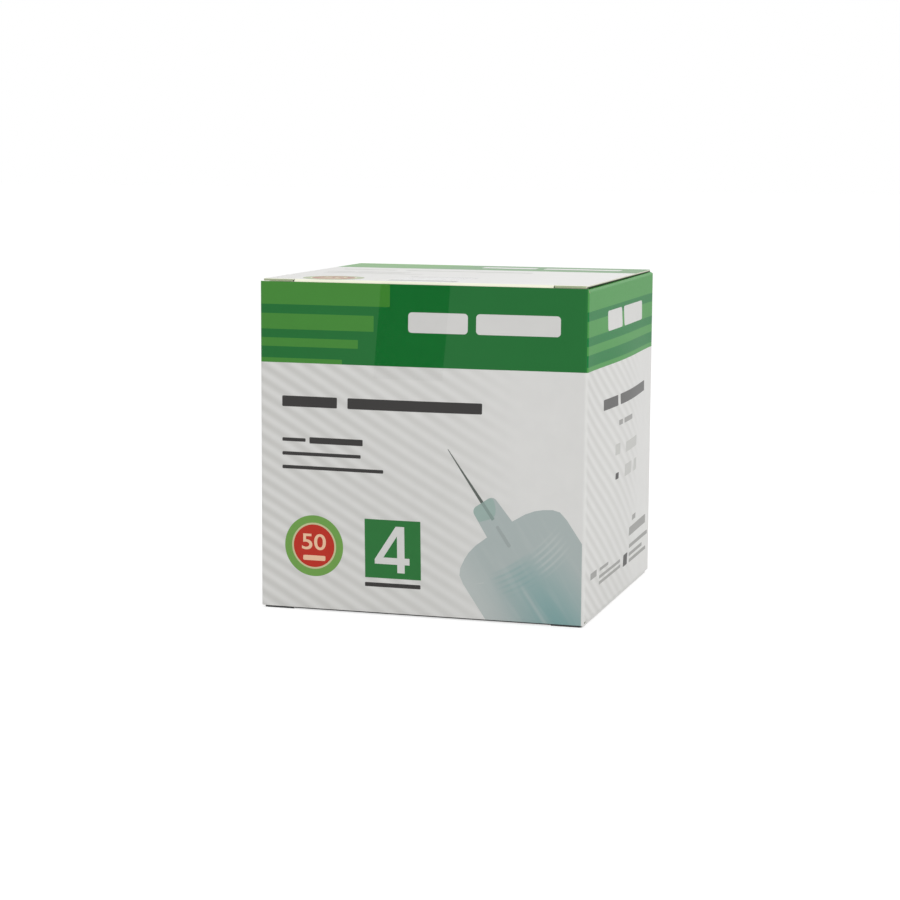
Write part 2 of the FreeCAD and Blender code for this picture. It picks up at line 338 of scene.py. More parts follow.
def even_steps(low, high, steps):
    return [low + (high - low) * i / steps for i in range(steps + 1)]


def straight(bm, vert, step):
    """Run the board's section on from vert in a straight line."""
    grown = bmesh.ops.extrude_vert_indiv(bm, verts=[vert])["verts"]
    bmesh.ops.translate(bm, verts=grown, vec=step)
    return grown[0]


def bend(bm, vert, centre):
    """Run the section on through an upright crease."""
    turned = bmesh.ops.spin(
        bm, geom=[vert], cent=centre, axis=(0, 0, 1), angle=QUARTER_TURN, steps=CREASE_STEPS
    )
    return verts_of(turned["geom_last"])[0]


def fold(bm, edges, centre, axis, angle):
    """Fold the sheet on over a crease from its free edges, and return the new free edges."""
    geom = edges + list({vert for edge in edges for vert in edge.verts})
    turned = bmesh.ops.spin(bm, geom=geom, cent=centre, axis=axis, angle=angle, steps=CREASE_STEPS)
    return edges_of(turned["geom_last"])


def grow(bm, edges, step):
    """Run the sheet on from its free edges in a straight line, and return the new free edges."""
    grown = bmesh.ops.extrude_edge_only(bm, edges=edges)["geom"]
    bmesh.ops.translate(bm, verts=verts_of(grown), vec=step)
    return edges_of(grown)


def round_off(bm, corners, radius, segments):
    """Round off the sheet's corners."""
    bmesh.ops.bevel(
        bm, geom=corners, offset=radius, segments=segments, profile=0.5, affect="VERTICES", material=-1
    )


def face_outwards(bm, axis):
    """Turn the sheet's faces outwards, going by the one that lies furthest along one axis."""
    bmesh.ops.recalc_face_normals(bm, faces=bm.faces[:])
    outermost = max(bm.faces, key=lambda face: face.calc_center_median()[axis])
    if outermost.normal[axis] < 0:
        bmesh.ops.reverse_faces(bm, faces=bm.faces[:])


def add_object(name, data):
    added = bpy.data.objects.new(name, data)
    bpy.context.scene.collection.objects.link(added)
    return added


def add_mesh(name, bm, materials):
    """Turn a bmesh into an object with its materials."""
    mesh = bpy.data.meshes.new(name)
    bm.to_mesh(mesh)
    bm.free()
    for material in materials:
        mesh.materials.append(material)
    return add_object(name, mesh)


def add_piece(name, bm, materials, replaced=None):
    """Turn a bmesh into a piece that rides on the carton."""
    piece = add_mesh(name, bm, materials)
    piece.data.shade_smooth()
    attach(piece, "root")
    if replaced:
        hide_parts(replaced)
    return piece


def give_thickness(piece, thickness, behind):
    """Give a sheet its thickness on its inner side, and keep its cut edges sharp. They and its
    inside take the material that many slots behind the outside's."""
    solid = piece.modifiers.new("Thickness", "SOLIDIFY")
    solid.thickness = thickness
    solid.offset = -1.0
    solid.use_even_offset = True
    solid.material_offset = behind
    solid.material_offset_rim = behind
    graph = bpy.context.evaluated_depsgraph_get()
    mesh = bpy.data.meshes.new_from_object(piece.evaluated_get(graph), depsgraph=graph)
    piece.modifiers.clear()
    piece.data = mesh
    mesh.set_sharp_from_angle(angle=SMOOTH_ANGLE)


# The panels: their bow, their print and the unrolled blank


def panel_bulge(s, panel, point):
    """How far a filled panel stands out at a point: its whole bow in the middle, and nothing
    along its creases."""
    glue_end = s.board + s.upright_crease - s.width / 2
    crease_x = s.width / 2 - s.upright_crease
    crease_y = s.depth / 2 - s.upright_crease
    seam_y = s.depth / 2 - s.seam_setback
    axis, low, high, bow = {
        "front": (0, -crease_x, crease_x, s.front_bow),
        "right": (1, -crease_y, crease_y, s.side_bow),
        "back": (0, glue_end, crease_x, s.front_bow),
        "left": (1, -crease_y, seam_y, s.side_bow),
    }[panel]
    half = (high - low) / 2 - s.flat_margin
    half_z = s.height / 2 - s.board - s.flat_margin
    for at, middle, reach in ((point[axis], (low + high) / 2, half), (point.z, s.height / 2, half_z)):
        bow *= max(0.0, 1.0 - ((at - middle) / reach) ** 2) ** 2
    return bow


def panel_of(s, point):
    """The panel of the sleeve that a point belongs to."""
    if s.width / 2 - abs(point.x) < s.depth / 2 - abs(point.y):
        return "right" if point.x > 0 else "left"
    return "front" if point.y < 0 else "back"


def panel_halves(s, panel):
    """Half a panel's width, and how far its face is from the middle of the carton."""
    halves = (s.width / 2, s.depth / 2)
    return halves if panel in ("front", "back") else halves[::-1]


def across_panel(s, panel, point):
    """How far a point is from its panel's left edge, as the panel is read."""
    return panel_halves(s, panel)[0] + point.dot(PANELS[panel][2])


def around_blank(s, panel, point):
    """How far round the unrolled blank a point is, from the middle of the front panel."""
    place, _, along = PANELS[panel]
    return place * (s.width + s.depth) / 2 + point.dot(along)


def ink_at(across, down, surface):
    """The ink at a place on a panel. The bars run right across a side panel."""
    if down > BAND_FOOT * MM:
        return WHITE
    band, bar = BAND_AND_BAR[surface]
    for top, foot, end in BARS:
        if top * MM < down < foot * MM and (surface == "side" or across < end * MM):
            return bar
    return band


def onto_panel(s, panel, across, down, height):
    """The point on a panel this far from its left edge, below its top and out from its face."""
    if panel == "top":
        return Vector((across - s.width / 2, s.depth / 2 - down, s.height + height))
    _, out, along = PANELS[panel]
    half, reach = panel_halves(s, panel)
    point = along * (across - half) + out * reach + Vector((0, 0, s.height - down))
    return point + out * (panel_bulge(s, panel, point) + height)


# Materials


class Shading:
    """A node tree as it is built. A node's input takes a plain value, a colour as three parts
    or another node's output."""

    def __init__(self, owner):
        owner.use_nodes = True
        self.owner = owner
        self.tree = owner.node_tree

    def feed(self, node, inputs):
        for key, value in inputs.items():
            socket = node.inputs[key]
            if isinstance(value, bpy.types.NodeSocket):
                self.tree.links.new(value, socket)
            else:
                socket.default_value = (*value, 1.0) if socket.type == "RGBA" else value

    def feed_main(self, inputs):
        self.feed(self.tree.nodes["Principled BSDF"], inputs)

    def show(self, surface, output="Material Output"):
        self.feed(self.tree.nodes[output], {"Surface": surface})

    def add(self, kind, inputs=None, output=0, **settings):
        """Add a node, and return one of its outputs."""
        node = self.tree.nodes.new(f"ShaderNode{kind}")
        for name, value in settings.items():
            setattr(node, name, value)
        self.feed(node, inputs or {})
        return node.outputs[output]

    def places(self):
        return self.add("TexCoord", output="Object")

    def uv(self, name):
        return self.add("UVMap", uv_map=name)

    def split(self, vector):
        """A vector's three parts."""
        return self.add("SeparateXYZ", {"Vector": vector}, slice(3))

    def noise(self, places, scale, detail=3.0):
        return self.add("TexNoise", {"Vector": places, "Scale": scale, "Detail": detail})

    def bump(self, height, strength, distance):
        return self.add("Bump", {"Height": height, "Strength": strength, "Distance": distance})

    def mapped(self, value, low, high, from_low=0.0, from_high=1.0):
        """Stretch a value from one range to another."""
        inputs = {"Value": value, "From Min": from_low, "From Max": from_high, "To Min": low, "To Max": high}
        return self.add("MapRange", inputs)

    def computed(self, operation, first, second=0.0):
        """Work on one or two values."""
        return self.add("Math", {0: first, 1: second}, operation=operation)

    def product(self, value, *others):
        for other in others:
            value = self.computed("MULTIPLY", value, other)
        return value

    def distance(self, value, at):
        """How far a value is from a place."""
        return self.computed("ABSOLUTE", self.computed("SUBTRACT", value, at))

    def mixed(self, factor, first, second):
        """Mix two colours."""
        return self.add("Mix", {"Factor": factor, 6: first, 7: second}, 2, data_type="RGBA")

    def blended(self, factor, first, second):
        """Mix two shaders."""
        return self.add("MixShader", {"Fac": factor, 1: first, 2: second})


def shader(name, roughness, shine):
    """A new material, with the roughness and the shine of its main shader."""
    finish = Shading(bpy.data.materials.new(name))
    finish.feed_main({"Roughness": roughness, "Specular IOR Level": shine})
    return finish


def darker(tone, by):
    return tuple(channel * by for channel in tone)


def under_film(finish, places):
    """One where the film lies on the front panel, and nought elsewhere."""
    s, seal = bpy.context.scene.carton_sizes, bpy.context.scene.carton_seal
    lean, soft = math.tan(seal.tilt), 0.0001
    top, front = s.height - s.front_drop, -s.depth / 2
    side, low, far = seal.width / 2, top - seal.front_leg, front + s.lid_crease
    _, y, z = finish.split(places)
    beside = finish.add("VectorMath", {0: places, 1: (1.0, -lean, -lean)}, "Value", operation="DOT_PRODUCT")
    beside = finish.distance(beside, seal.centre_x - lean * (top + front))
    return finish.product(
        finish.mapped(beside, 1.0, 0.0, side - soft, side + soft),
        finish.mapped(z, 0.0, 1.0, low - soft, low + soft),
        finish.mapped(y, 1.0, 0.0, far - soft, far + soft),
    )


def coated(name, tone, roughness=0.34, shine=0.34):
    """Printed and varnished board: slight mottle in the ink, and a fine grain in the varnish.
    Under the film the front panel's varnish has less gloss."""
    finish = shader(name, roughness, shine)
    places = finish.places()
    tint = finish.mixed(finish.noise(places, 260.0), darker(tone, 0.965), darker(tone, 1.03))
    grain = finish.noise(places, 2600.0, 4.0)
    finish.feed_main({
        "Base Color": tint,
        "Specular IOR Level": finish.mapped(under_film(finish, places), shine, shine / 5),
        "Roughness": finish.mapped(grain, roughness - 0.05, roughness + 0.05),
        "Normal": finish.bump(grain, 0.12, 0.00004),
    })
    return finish, tint


def ink(name, tone, **gloss):
    """A field of ink."""
    return coated(name, tone, **gloss)[0].owner


def white_board(colours):
    """The coated white ground, with faint stripes that fade out to the right of the front
    and of the side panels."""
    finish, ground = coated("white_board", colours.white)
    blank = finish.uv("blank")
    slope = (0.0, 0.0, QUARTER_TURN + colours.stripe_slope)
    turned = finish.add("Mapping", {"Vector": blank, "Rotation": slope})
    waves = {"Vector": turned, "Scale": math.pi / 10 / colours.stripe_pitch, "Distortion": 0.0}
    stripes = finish.add("TexWave", waves, "Fac", bands_direction="X")
    around = finish.mapped(finish.split(blank)[0], 0.0, 1.0, BLANK_START * MM, BLANK_END * MM)
    fade = finish.add("ValToRGB", {"Fac": around})
    ramp = fade.node.color_ramp
    for _ in STRIPE_STRENGTH[2:]:
        ramp.elements.new(0.5)
    for element, (at, strength) in zip(ramp.elements, STRIPE_STRENGTH):
        element.position = (at - BLANK_START) / (BLANK_END - BLANK_START)
        element.color = (strength, strength, strength, 1.0)
    finish.feed_main({"Base Color": finish.mixed(finish.product(stripes, fade), ground, colours.stripe)})
    return finish.owner


def raw_board(colours):
    """Uncoated fibre, in the cut edges and on the inside. Edges that face the front are darker, as
    painted shade, and darker still at the foot, as a painted contact shadow; elsewhere the foot is
    lightened towards the white board, as painted light. The lid's cut sides are dark in their lower
    half, as painted shade of the gap under the lid."""
    finish = shader("raw_board", 0.9, 0.3)
    places = finish.places()
    fibres = finish.noise(places, 1500.0, 6.0)
    core = finish.mixed(fibres, darker(colours.core, 0.85), darker(colours.core, 1.15))
    facing = finish.split(finish.add("NewGeometry", output="Normal"))
    up = finish.split(places)[2]
    # Near the foot, the edges and the inside are lightened towards the white board: painted light. Edges that
    # face the front go dark there instead: painted contact shadow.
    low = finish.mapped(up, 1.0, 0.0, 0.0006, 0.0012)
    core = finish.mixed(low, core, colours.white)
    front = finish.mixed(low, colours.front_edge_shade, colours.foot)
    height = bpy.context.scene.carton_sizes.height
    # Painted shade in the lower half of the lid's cut sides, in the gap under the lid
    gap_shade = finish.product(
        finish.mapped(finish.computed("ABSOLUTE", facing[0]), 0.0, 1.0, 0.8, 0.95),
        finish.mapped(up, 0.0, 1.0, height - 0.0006, height - 0.0005),
        finish.mapped(up, 0.0, 1.0, height - 0.00018, height - 0.00026),
    )
    core = finish.mixed(gap_shade, core, colours.lower_gap_shade)
    # Edges that face the front take the darker tone: painted shade
    tone = finish.mixed(finish.mapped(facing[1], 1.0, 0.0, -0.9, -0.4), core, front)
    finish.feed_main({"Base Color": tone, "Normal": finish.bump(fibres, 0.4, 0.0001)})
    return finish.owner


def board_materials(colours):
    """The printed inks in their slots, and the raw board in as many slots behind them."""
    printed = [
        white_board(colours),
        # Painted highlight on the lid's front crease and the strip behind it
        ink("stretched_crease", colours.crease, shine=0.9),
        # Painted contact shadow on the bottom lid's front crease
        ink("soiled_crease", colours.foot),
        ink("band_green", colours.band),
        ink("bar_green", colours.bar),
        # Lighter copies of the band's inks: painted light on the sides, painted sheen on the lid
        ink("side_band_green", colours.side_band, shine=0.14),
        ink("side_bar_green", colours.side_bar, shine=0.14),
        ink("lid_band_green", colours.lid_band),
        ink("lid_bar_green", colours.lid_bar),
    ]
    return printed + [raw_board(colours)] * len(printed)


def hub_ink(colours):
    """The pictured hub: pale on its shoulders and deep teal down its middle, with the lines of
    a thread round it and faint streaks along it, as in clear moulded plastic."""
    finish, _ = coated("needle_hub", colours.pale_teal)
    drawn = finish.uv("drawn")
    beside, along, _ = finish.split(drawn)

    def within(start, *spans):
        """A value times one ramp for each span, which goes up from nought to one."""
        ramps = [finish.mapped(value, 0.0, 1.0, low, high) for value, low, high in spans]
        return finish.product(start, *ramps)

    aside = finish.distance(beside, -0.0006)
    below = finish.computed("POWER", finish.mapped(along, 0.0, 1.0, 0.0275, 0.046), 0.5)
    tone = finish.mixed(within(below, (aside, 0.0105, 0.001)), colours.pale_teal, colours.teal)
    tone = finish.mixed(finish.mapped(beside, 0.8, 0.0, -0.0125, -0.0065), tone, colours.streak)
    seam = finish.mapped(finish.distance(beside, -0.0027), 0.4, 0.0, 0.0001, 0.0006)
    tone = finish.mixed(within(seam, (along, 0.031, 0.034)), tone, colours.streak)

    level = finish.computed("ADD", along, finish.product(beside, beside, 15.0))
    wave = finish.computed("SINE", finish.product(level, 2 * math.pi / 0.0012))
    threads = ((0.65, 0.0045, 0.0085, colours.streak), (0.35, -0.001, -0.005, colours.teal))
    for depth, near, far, shade in threads:
        lines = within(
            finish.mapped(wave, 0.0, depth, -0.3, 1.0), (level, 0.0275, 0.0285), (level, 0.0345, 0.0325),
            (beside, near - math.copysign(0.003, near), near), (beside, far + math.copysign(0.003, far), far),
        )
        tone = finish.mixed(lines, tone, shade)

    drawn_out = finish.add("Mapping", {"Vector": drawn, "Scale": (600.0, 60.0, 1.0)})
    streaks = finish.mapped(finish.noise(drawn_out, 1.0, 2.0), 0.0, 0.3, 0.5, 0.8)
    finish.feed_main({"Base Color": finish.mixed(streaks, tone, colours.streak)})
    return finish.owner


def film_face(name):
    """One face of the film, which has no main shader."""
    face = Shading(bpy.data.materials.new(name))
    face.tree.nodes.remove(face.tree.nodes["Principled BSDF"])
    return face


def film_outside(s, seal):
    """The film's outer face, which has a clear gloss and two lines of painted shade."""
    face = film_face("clear_film")
    edge = seal.front_leg + s.front_drop
    end = edge + seal.top_leg
    run = face.split(face.uv("strip"))[1]
    # It takes away a little more light on the front than on the lid, as painted shade on the print under it
    # there
    clear = face.add("BsdfTransparent", {"Color": face.mapped(run, 0.98, 1.0, edge, edge + 0.001)})
    ripple = face.bump(face.noise(face.places(), 180.0, 1.0), 0.1, 0.0001)
    gloss = face.add("BsdfGlossy", {"Roughness": 0.12, "Normal": ripple})
    # Light on its way out isn't held back
    outside = face.computed("SUBTRACT", 1.0, face.add("NewGeometry", output="Backfacing"))
    shine = face.product(face.add("Fresnel", {"IOR": 1.12}), outside)
    # Painted shade: a grey line along the film's end on the lid, and another behind the crease,
    #     where the film has come off the lid
    along_end = face.mapped(run, 0.0, 0.35, end - 0.0007, end - 0.0005)
    behind_crease = face.mapped(face.distance(run, edge + 0.0046), 0.3, 0.0, 0.0008, 0.0016)
    painted_film_shade = face.add("BsdfDiffuse", {"Color": (0.3, 0.31, 0.29)})
    painted_shade_mask = face.computed("MAXIMUM", along_end, behind_crease)
    face.show(face.blended(painted_shade_mask, face.blended(shine, clear, gloss), painted_film_shade))
    return face.owner


def film_underside():
    """The film's inner face, stuck down and without gloss of its own. Its cut edges take it too."""
    face = film_face("film_underside")
    face.show(face.add("BsdfTransparent", {"Color": (1.0, 1.0, 1.0)}))
    return face.owner


# The folded board


def sleeve_mesh(s):
    """The four panels, the glue flap and the dust flaps. The top half is folded with its foot
    at nought, mirrored for the bottom half and raised."""
    bm = bmesh.new()
    right, back, r = s.width / 2, s.depth / 2, s.upright_crease
    glue_x = s.board - right
    seam_y = back - s.seam_setback
    half = s.height / 2

    vert = bm.verts.new((-right, seam_y, 0))
    vert = straight(bm, vert, (0, r - back - seam_y, 0))
    vert = bend(bm, vert, (r - right, r - back, 0))
    vert = straight(bm, vert, (2 * (right - r), 0, 0))
    vert = bend(bm, vert, (right - r, r - back, 0))
    vert = straight(bm, vert, (0, 2 * (back - r), 0))
    vert = bend(bm, vert, (right - r, back - r, 0))
    vert = straight(bm, vert, (glue_x + r - right + r, 0, 0))
    vert = bend(bm, vert, (glue_x + r, back - r, 0))
    straight(bm, vert, (0, -s.glue_flap, 0))
    grow(bm, bm.edges[:], (0, 0, half - s.board))

    hinge = half - s.board - s.dust_flap_crease
    relief = hinge - s.relief_drop + s.dust_flap_crease
    lid_start = half - s.lid_crease
    front_top = half - s.front_drop
    front_inside = s.board - back
    flap_front = s.relief_width - back
    cut_at(bm, 2, (relief, hinge, lid_start, front_top))
    cut_at(bm, 1, (front_inside, flap_front, seam_y))

    def beyond_blank(face):
        at = face.calc_center_median()
        if at.y < front_inside:
            return at.z > front_top
        if at.y < flap_front:
            return at.z > relief
        if at.y < seam_y:
            return at.z > hinge
        return at.z > lid_start

    bmesh.ops.delete(bm, geom=[face for face in bm.faces if beyond_blank(face)], context="FACES")

    for side in (-1, 1):
        top = [edge for edge in free_edges(bm, 2, hinge) if same(middle_of(edge).x, side * right)]
        centre = (side * (right - s.dust_flap_crease), 0, hinge)
        top = fold(bm, top, centre, (0, 1, 0), -side * QUARTER_TURN)
        for edge in grow(bm, top, (-side * s.dust_flap_reach, 0, 0)):
            for vert in edge.verts:
                vert.co.y *= 1 - s.dust_flap_taper / back

    bmesh.ops.mirror(bm, geom=whole(bm), axis="Z", merge_dist=NEAR)
    bmesh.ops.translate(bm, verts=bm.verts[:], vec=(0, 0, half))

    crease_x, crease_y = right - r - s.flat_margin, back - r - s.flat_margin
    crease_z = half - s.board - s.flat_margin
    cut_at(bm, 0, even_steps(-crease_x, crease_x, PANEL_STEPS))
    cut_at(bm, 1, even_steps(-crease_y, crease_y, PANEL_STEPS))
    cut_at(bm, 2, even_steps(half - crease_z, half + crease_z, PANEL_STEPS))
    cut_for_band(bm, right, 2, s.height)
    return bm


def print_sleeve(s, bm):
    """Give each face of the sleeve its ink and its place on the unrolled blank."""
    blank = bm.loops.layers.uv.new("blank")
    for face in bm.faces:
        at = face.calc_center_median()
        panel = panel_of(s, at)
        surface = "side" if panel in ("right", "left") else "front"
        face.material_index = ink_at(across_panel(s, panel, at), s.height - at.z, surface)
        for loop in face.loops:
            loop[blank].uv = (around_blank(s, panel, loop.vert.co), loop.vert.co.z)


def fill_sleeve(s, bm):
    """Bow the panels out, and let the dust flaps fall away towards the front."""
    right, back = s.width / 2, s.depth / 2
    hinge_y = back - s.lid_crease
    run = hinge_y + back - s.board
    flat_z = s.height - s.board - s.flat_margin
    hinge = s.height - s.board - s.dust_flap_crease
    faces = (
        ("front", 1, -back), ("back", 1, back), ("right", 0, right), ("left", 0, -right),
        ("left", 0, s.board - right),
    )
    for vert in bm.verts:
        at = vert.co.copy()
        for panel, axis, face in faces:
            if same(at[axis], face):
                vert.co += PANELS[panel][1] * panel_bulge(s, panel, at)
                break
        in_front = min(1.0, max(0.0, (hinge_y - at.y) / run))
        if abs(at.y) < back - s.upright_crease + NEAR:
            for height, lift, down in ((at.z, s.top_lift, -1), (s.height - at.z, s.bottom_lift, 1)):
                near = min(1.0, max(0.0, (height - flat_z) / (hinge - flat_z)))
                vert.co.z += down * lift * in_front**0.5 * near


def lids_mesh(s):
    """Both lids with their creases and tuck flaps: the top one is folded and mirrored."""
    bm = bmesh.new()
    right, back, r = s.width / 2, s.depth / 2, s.lid_crease
    half = s.height / 2
    edge_x = right - s.lid_inset
    hinge_y = back - r
    tuck_y = s.board + s.tuck_slot - back
    fold_y = tuck_y + r
    slit_x = right - s.slit_length
    shoulder_y = hinge_y - s.lid_shoulder

    centre = Matrix.Translation((0, (hinge_y + fold_y) / 2, half))
    reach = Matrix.Diagonal((edge_x, (hinge_y - fold_y) / 2, 1, 1))
    bmesh.ops.create_grid(bm, x_segments=1, y_segments=1, size=1, matrix=centre @ reach)
    cut_at(bm, 0, (-slit_x - s.slit_kerf, -slit_x, slit_x, slit_x + s.slit_kerf))

    front = free_edges(bm, 1, fold_y)
    ears = [edge for edge in front if abs(middle_of(edge).x) > slit_x + s.slit_kerf]
    flap = [edge for edge in front if abs(middle_of(edge).x) < slit_x]
    ear_ends = grow(bm, ears, (0, tuck_y - fold_y, 0))
    bmesh.ops.dissolve_edges(bm, edges=ears, use_verts=True)
    corners = [vert for edge in ear_ends for vert in edge.verts if same(abs(vert.co.x), edge_x)]
    round_off(bm, corners, s.lid_corner, 5)
    flap = fold(bm, flap, (0, fold_y, half - r), (1, 0, 0), QUARTER_TURN)
    grow(bm, flap, (0, 0, r - s.tuck_reach))

    cut_at(bm, 1, (shoulder_y,))
    hinge = free_edges(bm, 1, hinge_y)
    for vert in {vert for edge in hinge for vert in edge.verts}:
        vert.co.x = max(r - right, min(right - r, vert.co.x))
    fold(bm, hinge, (0, hinge_y, half - r), (1, 0, 0), -QUARTER_TURN)

    bmesh.ops.mirror(bm, geom=whole(bm), axis="Z", merge_dist=0)
    bmesh.ops.translate(bm, verts=bm.verts[:], vec=(0, 0, half))
    cut_at(bm, 0, even_steps(-right, right, PANEL_STEPS))
    cut_at(bm, 1, even_steps(-back, back, PANEL_STEPS))
    cut_for_band(bm, right, 1, back)
    cut_at(bm, 1, (s.painted_highlight_reach - back,))
    return bm


def print_lids(s, bm):
    """The top lid repeats the front's band along its back crease, and its front crease and the strip behind
    it take a painted highlight. The bottom lid is bare but for a painted contact shadow along its front
    crease.
    """
    blank = bm.loops.layers.uv.new("blank")
    for face in bm.faces:
        at = face.calc_center_median()
        down = s.depth / 2 - at.y
        if at.z > s.height - s.lid_crease * 0.3 and at.y > s.painted_highlight_reach - s.depth / 2:
            face.material_index = ink_at(s.width / 2 + at.x, down, "lid")
        elif at.z > s.height / 2 and down < s.lid_crease:
            face.material_index = ink_at(s.width / 2 - at.x, 0, "front")
        elif at.z > s.height - s.lid_crease:
            # Painted highlight on the lid's front crease and the strip behind it
            face.material_index = CREASE
        elif at.z < s.lid_crease and at.y < 2 * s.lid_crease - s.depth / 2:
            # Painted contact shadow along the bottom lid's front crease
            face.material_index = FOOT
        for loop in face.loops:
            point = loop.vert.co
            loop[blank].uv = (point.x, s.height - s.depth / 2 + point.y)


# Print that lies on the panels


def outline(bm, points, corners=(), height=0.0, material=0):
    """A flat shape from a few corner points, some of them rounded off. The points and all
    sizes are in millimetres, to the right and down."""
    verts = [bm.verts.new((across, -down, height)) for across, down in points]
    face = bm.faces.new(verts)
    face.material_index = material
    for vert, radius in zip(verts, corners):
        if radius:
            round_off(bm, [vert], radius, 8)


def bars(bm, boxes, radius, height=0.0, material=0):
    """Flat bars with rounded corners, each given by its left, top, right and bottom edges."""
    for left, top, right, foot in boxes:
        corners = ((left, top), (left, foot), (right, foot), (right, top))
        outline(bm, corners, (radius,) * 4, height, material)


def disc(bm, middle, radius, height=0.0, material=0):
    at = Matrix.Translation((middle[0], -middle[1], height))
    made = bmesh.ops.create_circle(bm, cap_ends=True, segments=72, radius=radius, matrix=at)["verts"]
    for face in {face for vert in made for face in vert.link_faces}:
        face.material_index = material


def number(bm, text, box, boldness, height=0.0, material=0):
    """A plain number that fills a box."""
    left, top, right, foot = box
    curve = bpy.data.curves.new("number", "FONT")
    curve.body = text
    curve.offset = boldness
    carrier = add_object("number", curve)
    graph = bpy.context.evaluated_depsgraph_get()
    mesh = bpy.data.meshes.new_from_object(carrier.evaluated_get(graph), depsgraph=graph)
    figures = bmesh.new()
    figures.from_mesh(mesh)
    low = [min(vert.co[axis] for vert in figures.verts) for axis in (0, 1)]
    high = [max(vert.co[axis] for vert in figures.verts) for axis in (0, 1)]
    scale = ((right - left) / (high[0] - low[0]), (foot - top) / (high[1] - low[1]), 1.0)
    bmesh.ops.translate(figures, verts=figures.verts[:], vec=(-low[0], -low[1], 0))
    bmesh.ops.scale(figures, verts=figures.verts[:], vec=scale)
    bmesh.ops.translate(figures, verts=figures.verts[:], vec=(left, -foot, height))
    for face in figures.faces:
        face.material_index = material
    figures.to_mesh(mesh)
    figures.free()
    bm.from_mesh(mesh)
    bpy.data.objects.remove(carrier)
    bpy.data.curves.remove(curve)
    bpy.data.meshes.remove(mesh)


def lay_print(s, bm, panel):
    """Give flat shapes the ink's thickness and lay them on a panel, following its bow."""
    for face in bm.faces:
        face.normal_update()
        if face.normal.z < 0:
            face.normal_flip()
    for axis in (0, 1):
        places = [vert.co[axis] for vert in bm.verts]
        first, last = math.ceil(min(places) / PRINT_GRID), math.floor(max(places) / PRINT_GRID)
        cut_at(bm, axis, [PRINT_GRID * step for step in range(first, last + 1)])
    bmesh.ops.solidify(bm, geom=bm.faces[:], thickness=INK)
    for vert in bm.verts:
        across, down, height = vert.co.x, -vert.co.y, vert.co.z + INK + INK_GAP
        vert.co = onto_panel(s, panel, across * MM, down * MM, height * MM)
    bmesh.ops.recalc_face_normals(bm, faces=bm.faces[:])


def add_print(s, bm, panel, name, inks, tones):
    """Lay flat shapes on a panel as a piece of their own, in the inks of those tones."""
    lay_print(s, bm, panel)
    piece = add_piece(f"{panel}_{name}", bm, [inks[tone] for tone in tones])
    piece.data.set_sharp_from_angle(angle=SMOOTH_ANGLE)


def print_bars(s, panel, name, slot, inks, *groups):
    """Print groups of bars, each with its boxes, its corners' radius and its ink."""
    bm = bmesh.new()
    tones = list(dict.fromkeys(tone for _, _, tone in groups))
    for boxes, radius, tone in groups:
        bars(bm, boxes, radius, material=tones.index(tone))
    add_print(s, bm, panel, name, inks, tones)


def needle_shapes(bm, foot):
    """A plain picture of a needle's hub: a cannula in a collar on a broad hub, drawn aslant and
    cut off by the panel's edges."""
    lean = math.radians(34)
    along = Vector((math.sin(lean), math.cos(lean)))
    aside = Vector((math.cos(lean), -math.sin(lean)))
    tip = Vector(NEEDLE_TIP)

    def part(points, corners=(), height=0.0, material=0):
        outline(bm, [tip + along * b + aside * w for b, w in points], corners, height, material)

    part([*HUB, *((b, -w) for b, w in reversed(HUB))])
    part([(13.5, -2.8), (20.9, -3.3), (20.9, 3.3), (13.5, 2.8)], (1.2, 0, 0, 1.2), LAYER)
    patch = [(13.5, -2.8), (16.6, -2.95), (17.6, 0.4), (16.2, 1.9), (13.5, 2.6)]
    part(patch, (1.2, 0.4, 0.8, 1.2, 1.1), 2 * LAYER, 1)
    part([(0.2, -0.06), (13.5, -0.33), (13.5, 0.33), (0.2, 0.06)], (), 3 * LAYER, 2)
    part([(13.5, -0.33), (17.8, -0.36), (17.8, 0.36), (13.5, 0.33)], (), 3 * LAYER, 3)
    part([(19.3, -0.45), (24.5, -0.6), (24.5, 0.2), (19.3, 0.2)], (0.25, 0.35, 0.35, 0.25), 3 * LAYER, 4)
    part([(27.8, -9.3), (28.1, -9.4), (26.9, -11.8)], (), LAYER, 5)

    for edge, out in (((PICTURE_EDGE, 0, 0), (1, 0, 0)), ((0, -foot, 0), (0, -1, 0))):
        bmesh.ops.bisect_plane(bm, geom=whole(bm), dist=NEAR, plane_co=edge, plane_no=out, clear_outer=True)
    drawn = bm.loops.layers.uv.new("drawn")
    for face in bm.faces:
        for loop in face.loops:
            at = Vector((loop.vert.co.x, -loop.vert.co.y)) - tip
            loop[drawn].uv = (at.dot(aside) * MM, at.dot(along) * MM)


